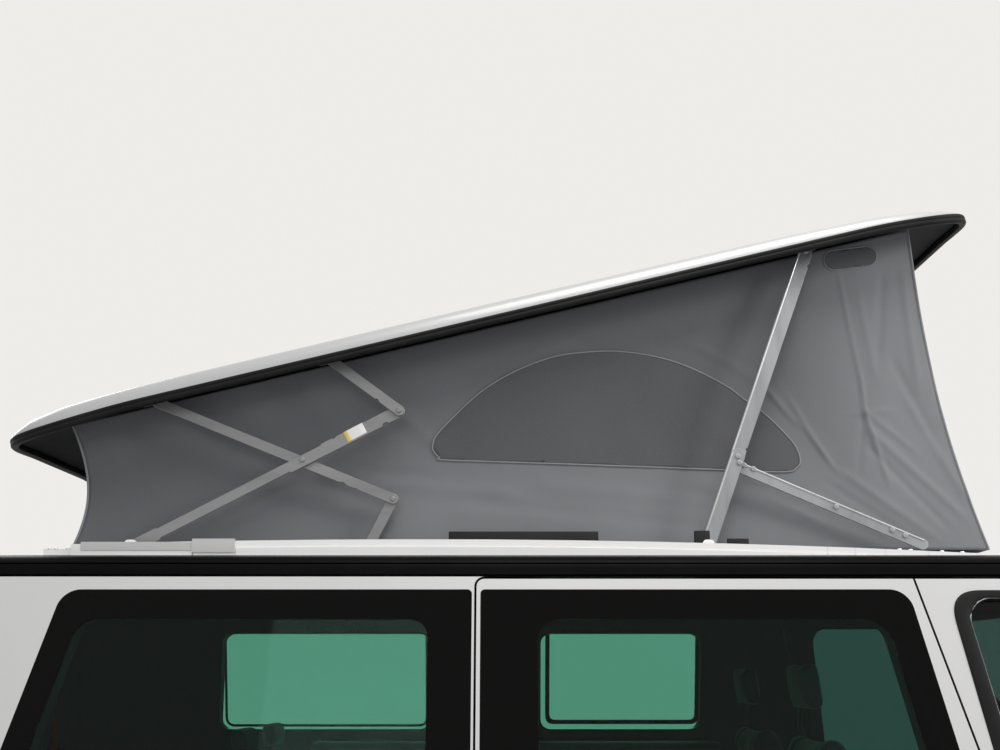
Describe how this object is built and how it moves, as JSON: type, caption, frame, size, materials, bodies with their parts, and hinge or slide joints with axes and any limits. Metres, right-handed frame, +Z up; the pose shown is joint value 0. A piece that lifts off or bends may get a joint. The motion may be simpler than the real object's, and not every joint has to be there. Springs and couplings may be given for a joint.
{
  "type": "camper van with a raising roof",
  "caption": "Silver camper van standing with its rear-hinged pop-up roof raised on folding scissor links and a grey tent; doors, bonnet, tailgate, steering and wheels move",
  "frame": {"origin": "on the ground below the middle of the van's length and width", "axes": "+X forward, +Y to the van's left, +Z up"},
  "size_m": [4.8927, 2.29, 2.9009],
  "materials": {
    "body_paint": "metallic silver paint",
    "roof_paint": "silver-white paint on moulded roof shell",
    "tinted_glass": "green tinted glass",
    "lamp_lens": "clear lamp lens",
    "lamp_bowl": "bright lamp bowl",
    "red_lens": "red lamp lens",
    "black_trim": "black moulded trim",
    "black_rubber": "black rubber lip",
    "rail_aluminium": "pressed aluminium",
    "tent_cloth": "dark grey tent cloth",
    "seat_cloth": "dark seat cloth",
    "cabinet_board": "pale laminated board",
    "cast_metal": "cast engine metal",
    "chassis_black": "black chassis paint",
    "tyre_rubber": "tyre rubber",
    "rim_alloy": "machined alloy"
  },
  "bodies": {
    "van": {"side_left": "body_paint", "side_right": "body_paint", "sliding_door": "body_paint", "side_windows": "tinted_glass", "windscreen": "tinted_glass", "cab_frame": "body_paint", "front_wings": "body_paint", "nose_panel": "body_paint", "headlamp_lenses": "lamp_lens", "headlamp_bowls": "lamp_bowl", "tail_lamps": "red_lens", "grille": "black_trim", "bumpers": "body_paint", "roof_panel": "body_paint", "gutters": "black_trim", "roof_rails": "rail_aluminium", "tent_fabric": "tent_cloth", "wheel_houses": "black_trim", "floor_pan": "body_paint", "dashboard": "black_trim", "front_seats": "seat_cloth", "rear_bench": "seat_cloth", "kitchen_unit": "cabinet_board", "engine_block": "cast_metal", "front_subframe": "chassis_black", "rear_axle": "chassis_black"},
    "roof": {"roof_shell": "roof_paint", "roof_seal": "black_rubber", "roof_brackets": "rail_aluminium"},
    "scissor_van": {"scissor_bars_van": "rail_aluminium"},
    "scissor_roof": {"scissor_bars_roof": "rail_aluminium"},
    "stay_roof": {"short_stays_roof": "rail_aluminium"},
    "stay_van": {"short_stays_van": "rail_aluminium"},
    "strut_lower": {"front_struts_lower": "rail_aluminium"},
    "strut_upper": {"front_struts_upper": "rail_aluminium"},
    "brace": {"front_braces": "rail_aluminium"},
    "front_door_l": {"door_left": "body_paint", "door_glass_left": "tinted_glass", "mirror_left": "body_paint"},
    "front_door_r": {"door_right": "body_paint", "door_glass_right": "tinted_glass", "mirror_right": "body_paint"},
    "rear_gate": {"tailgate": "body_paint", "tailgate_glass": "tinted_glass"},
    "hood": {"bonnet": "body_paint"},
    "knuckle_l": {"knuckle_left": "chassis_black"},
    "knuckle_r": {"knuckle_right": "chassis_black"},
    "wheel_fl": {"tyre_front_left": "tyre_rubber", "rim_front_left": "rim_alloy"},
    "wheel_fr": {"tyre_front_right": "tyre_rubber", "rim_front_right": "rim_alloy"},
    "wheel_rl": {"tyre_rear_left": "tyre_rubber", "rim_rear_left": "rim_alloy"},
    "wheel_rr": {"tyre_rear_right": "tyre_rubber", "rim_rear_right": "rim_alloy"},
    "helm": {"steering_wheel": "black_trim"}
  },
  "joints": [
    {"name": "roof_lift", "type": "hinge", "parent": "van", "child": "roof", "pos_m": [-3.27, 0, 2], "axis": [0, 1, 0], "range_deg": [0, 13.7], "deforming": ["tent_fabric"]},
    {"name": "scissor_van_pin", "type": "hinge", "parent": "van", "child": "scissor_van", "pos_m": [-1.625, 0, 1.897], "axis": [0, 1, 0], "range_deg": [0, 26.75]},
    {"name": "scissor_roof_pin", "type": "hinge", "parent": "roof", "child": "scissor_roof", "pos_m": [-1.60312, 0, 2.31474], "axis": [0, 1, 0], "range_deg": [-35.19, 0]},
    {"name": "stay_roof_pin", "type": "hinge", "parent": "roof", "child": "stay_roof", "pos_m": [-1.10763, 0, 2.43552], "axis": [0, 1, 0], "range_deg": [-52.44, 0]},
    {"name": "stay_van_pin", "type": "hinge", "parent": "van", "child": "stay_van", "pos_m": [-0.98, 0, 1.897], "axis": [0, 1, 0], "range_deg": [0, 65.29]},
    {"name": "strut_van_pin", "type": "hinge", "parent": "van", "child": "strut_lower", "pos_m": [-0.045, 0, 1.897], "axis": [0, 1, 0], "range_deg": [-112.38, 0]},
    {"name": "strut_roof_pin", "type": "hinge", "parent": "roof", "child": "strut_upper", "pos_m": [0.271, 0, 2.7716], "axis": [0, 1, 0], "range_deg": [0, 54.92]},
    {"name": "brace_pin", "type": "hinge", "parent": "strut_lower", "child": "brace", "pos_m": [0.04204, 0, 2.1007], "axis": [0, 1, 0], "range_deg": [0, 91.08]},
    {"name": "steer_left", "type": "hinge", "parent": "van", "child": "knuckle_l", "pos_m": [1.545, 0.69, 0.343], "axis": [0, 0, 1], "range_deg": [-32, 32]},
    {"name": "steer_right", "type": "hinge", "parent": "van", "child": "knuckle_r", "pos_m": [1.545, -0.69, 0.343], "axis": [0, 0, 1], "range_deg": [-32.2, 32.2]},
    {"name": "steering_wheel_turn", "type": "hinge", "parent": "van", "child": "helm", "pos_m": [0.96, 0.4, 1.04], "axis": [-0.9, 0, 0.436], "range_deg": [-449, 449]},
    {"name": "wheel_spin_front_left", "type": "hinge", "parent": "knuckle_l", "child": "wheel_fl", "pos_m": [1.545, 0.814, 0.343], "axis": [0, 1, 0], "continuous": true},
    {"name": "wheel_spin_front_right", "type": "hinge", "parent": "knuckle_r", "child": "wheel_fr", "pos_m": [1.545, -0.814, 0.343], "axis": [0, 1, 0], "continuous": true},
    {"name": "wheel_spin_rear_left", "type": "hinge", "parent": "van", "child": "wheel_rl", "pos_m": [-1.455, 0.814, 0.343], "axis": [0, 1, 0], "continuous": true},
    {"name": "wheel_spin_rear_right", "type": "hinge", "parent": "van", "child": "wheel_rr", "pos_m": [-1.455, -0.814, 0.343], "axis": [0, 1, 0], "continuous": true},
    {"name": "door_left_hinge", "type": "hinge", "parent": "van", "child": "front_door_l", "pos_m": [1.385, 0.915, 0.7], "axis": [0, 0, -1], "range_deg": [0, 65]},
    {"name": "door_right_hinge", "type": "hinge", "parent": "van", "child": "front_door_r", "pos_m": [1.385, -0.915, 0.7], "axis": [0, 0, 1], "range_deg": [0, 65]},
    {"name": "tailgate_hinge", "type": "hinge", "parent": "van", "child": "rear_gate", "pos_m": [-2.275, 0, 1.835], "axis": [0, 1, 0], "range_deg": [0, 85]},
    {"name": "bonnet_hinge", "type": "hinge", "parent": "van", "child": "hood", "pos_m": [1.755, 0, 1.065], "axis": [0, -1, 0], "range_deg": [0, 55]}
  ],
  "couplings": [
    {"joint": "scissor_van_pin", "follows": "roof_lift", "ratio": 1.9163},
    {"joint": "scissor_roof_pin", "follows": "roof_lift", "ratio": -2.5321},
    {"joint": "stay_roof_pin", "follows": "roof_lift", "ratio": -3.7913},
    {"joint": "stay_van_pin", "follows": "roof_lift", "ratio": 4.729},
    {"joint": "strut_van_pin", "follows": "roof_lift", "ratio": -8.1664},
    {"joint": "strut_roof_pin", "follows": "roof_lift", "ratio": 3.9723},
    {"joint": "brace_pin", "follows": "roof_lift", "ratio": 6.6113},
    {"joint": "steer_right", "follows": "steer_left", "ratio": 1},
    {"joint": "steering_wheel_turn", "follows": "steer_left", "ratio": 14}
  ]
}
